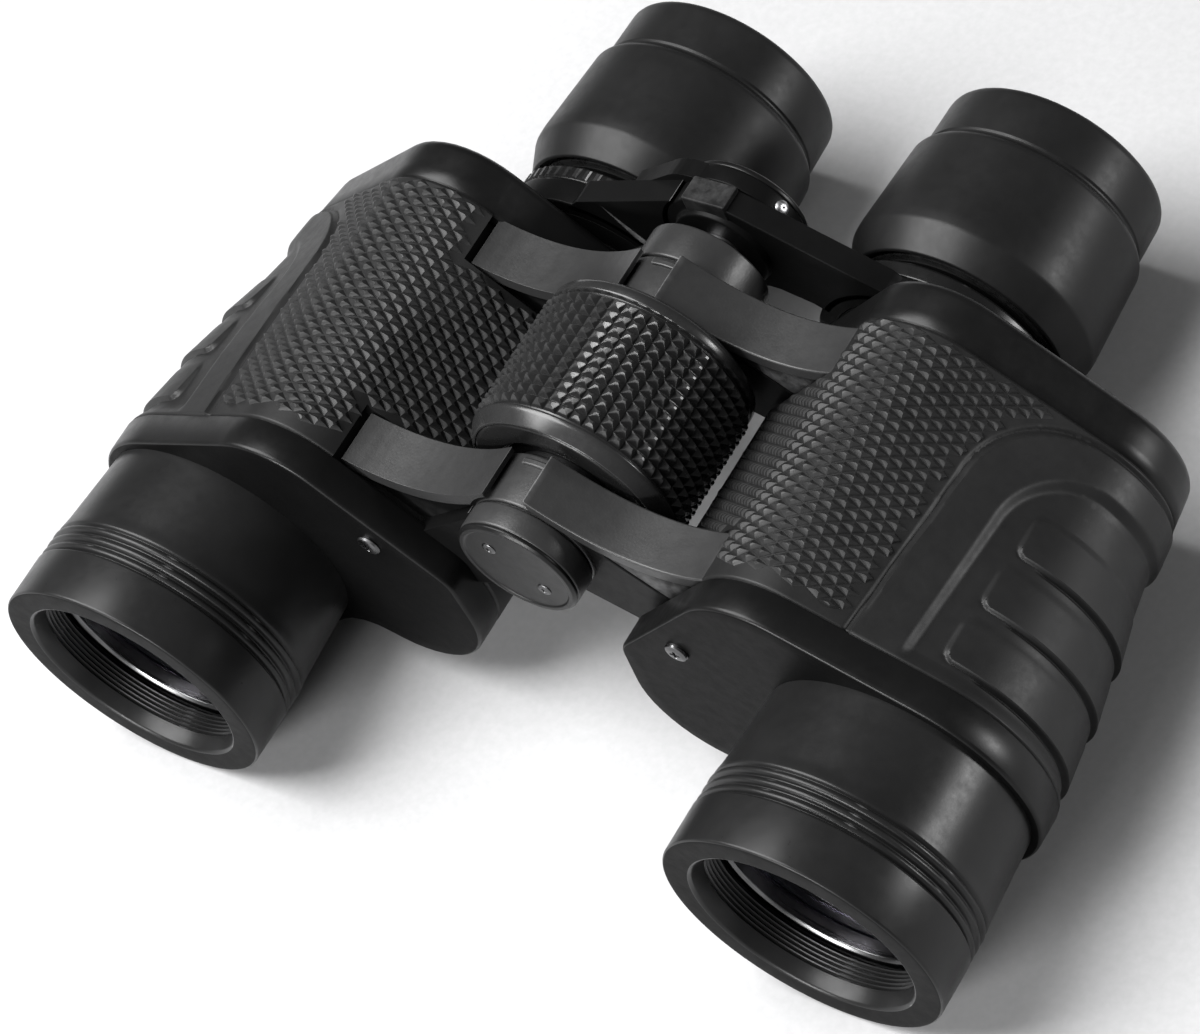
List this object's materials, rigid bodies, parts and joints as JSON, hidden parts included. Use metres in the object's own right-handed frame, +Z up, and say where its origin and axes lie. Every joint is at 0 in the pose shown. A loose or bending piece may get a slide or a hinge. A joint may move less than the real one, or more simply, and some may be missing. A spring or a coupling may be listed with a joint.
{
  "type": "binoculars",
  "caption": "Porro-prism binoculars with rubber armour, centre hinge, knurled focusing wheel, sliding eyepiece bridge and turn-up eyecups.",
  "frame": {"origin": "under the middle of the binoculars, on the surface they lie on", "axes": "+Z up, +Y from the objectives to the eyecups along the hinge axis, +X across towards the user's left barrel"},
  "size_m": [0.1824, 0.145, 0.0637],
  "materials": {
    "armour": "matte, diamond-textured rubber",
    "housing": "fine black paint on a casting",
    "covers": "satin black",
    "tubes": "satin black anodised",
    "blackened": "matt black, anti-reflection",
    "lens": "coated optical glass",
    "prism": "polished optical glass",
    "clip": "spring steel",
    "screw": "blackened steel, worn bright at the edges",
    "axle": "turned steel",
    "brass": "turned brass",
    "wheel": "moulded black",
    "grip": "satin rubber with pyramid rows",
    "eyecup": "smooth satin rubber",
    "bearing": "nylon"
  },
  "bodies": {
    "barrel_left": {"front_cover_left": "covers", "housing_left": "housing", "armour_left": "armour", "rear_cover_left": "covers", "cover_screw_left": "screw", "objective_tube_left": "tubes", "objective_ring_left": "blackened", "objective_crown_left": "lens", "objective_flint_left": "lens", "prism_front_left": "prism", "prism_rear_left": "prism", "prism_shelf_left": "blackened", "prism_clips_left": "clip", "hinge_axle": "axle", "hinge_cap": "covers", "hinge_washers": "bearing"},
    "barrel_right": {"front_cover_right": "covers", "housing_right": "housing", "armour_right": "armour", "rear_cover_right": "covers", "cover_screw_right": "screw", "objective_tube_right": "tubes", "objective_ring_right": "blackened", "objective_crown_right": "lens", "objective_flint_right": "lens", "prism_front_right": "prism", "prism_rear_right": "prism", "prism_shelf_right": "blackened", "prism_clips_right": "clip"},
    "focus_wheel": {"wheel_core": "wheel", "wheel_grip": "grip", "focus_nut": "brass"},
    "bridge": {"bridge_left": "housing", "bridge_cap": "covers", "bridge_screws": "screw", "focus_rod": "axle", "eyepiece_holder_left": "tubes", "eyepiece_barrel_left": "blackened", "field_lens_left": "lens", "eye_lens_left": "lens", "eyepiece_collar": "covers"},
    "bridge_right_arm": {"bridge_right": "housing", "eyepiece_holder_right": "tubes"},
    "dioptre": {"dioptre_ring": "covers"},
    "eyepiece_right": {"eyepiece_barrel_right": "blackened", "field_lens_right": "lens", "eye_lens_right": "lens"},
    "eyecup_cam_ring_left": {"eyecup_cam_left": "bearing"},
    "eyecup_cam_ring_right": {"eyecup_cam_right": "bearing"},
    "eyecup_left": {"eyecup_core_left": "covers", "eyecup_rubber_left": "eyecup"},
    "eyecup_right": {"eyecup_core_right": "covers", "eyecup_rubber_right": "eyecup"}
  },
  "joints": [
    {"name": "centre_hinge", "type": "hinge", "parent": "barrel_left", "child": "barrel_right", "pos_m": [0, 0, 0.0446], "axis": [0, 1, 0], "range_deg": [-21, 21.5]},
    {"name": "focus_wheel_turn", "type": "hinge", "parent": "barrel_left", "child": "focus_wheel", "pos_m": [0, 0, 0.0446], "axis": [0, 1, 0], "range_deg": [-107, 393]},
    {"name": "bridge_slide", "type": "slide", "parent": "barrel_left", "child": "bridge", "axis": [0, 1, 0], "range_m": [-0.0015, 0.0055]},
    {"name": "bridge_right_arm_slide", "type": "slide", "parent": "barrel_right", "child": "bridge_right_arm", "axis": [0, 1, 0], "range_m": [-0.0015, 0.0055]},
    {"name": "dioptre_turn", "type": "hinge", "parent": "bridge_right_arm", "child": "dioptre", "pos_m": [-0.0325, 0.033, 0.0228], "axis": [0, 1, 0], "range_deg": [-60, 60]},
    {"name": "dioptre_slide", "type": "slide", "parent": "bridge_right_arm", "child": "eyepiece_right", "axis": [0, 1, 0], "range_m": [-0.00126, 0.00126]},
    {"name": "eyecup_turn_left", "type": "hinge", "parent": "bridge", "child": "eyecup_cam_ring_left", "pos_m": [0.0325, 0.04, 0.0228], "axis": [0, 1, 0], "range_deg": [0, 90]},
    {"name": "eyecup_rise_left", "type": "slide", "parent": "eyecup_cam_ring_left", "child": "eyecup_left", "axis": [0, 1, 0], "range_m": [0, 0.008]},
    {"name": "eyecup_turn_right", "type": "hinge", "parent": "eyepiece_right", "child": "eyecup_cam_ring_right", "pos_m": [-0.0325, 0.04, 0.0228], "axis": [0, 1, 0], "range_deg": [0, 90]},
    {"name": "eyecup_rise_right", "type": "slide", "parent": "eyecup_cam_ring_right", "child": "eyecup_right", "axis": [0, 1, 0], "range_m": [0, 0.008]}
  ],
  "couplings": [
    {"joint": "bridge_slide", "follows": "focus_wheel_turn", "m_per_rad": 0.0008},
    {"joint": "bridge_right_arm_slide", "follows": "focus_wheel_turn", "m_per_rad": 0.0008},
    {"joint": "dioptre_slide", "follows": "dioptre_turn", "m_per_rad": 0.00115},
    {"joint": "eyecup_rise_left", "follows": "eyecup_turn_left", "m_per_rad": 0.00509},
    {"joint": "eyecup_rise_right", "follows": "eyecup_turn_right", "m_per_rad": 0.00509}
  ]
}
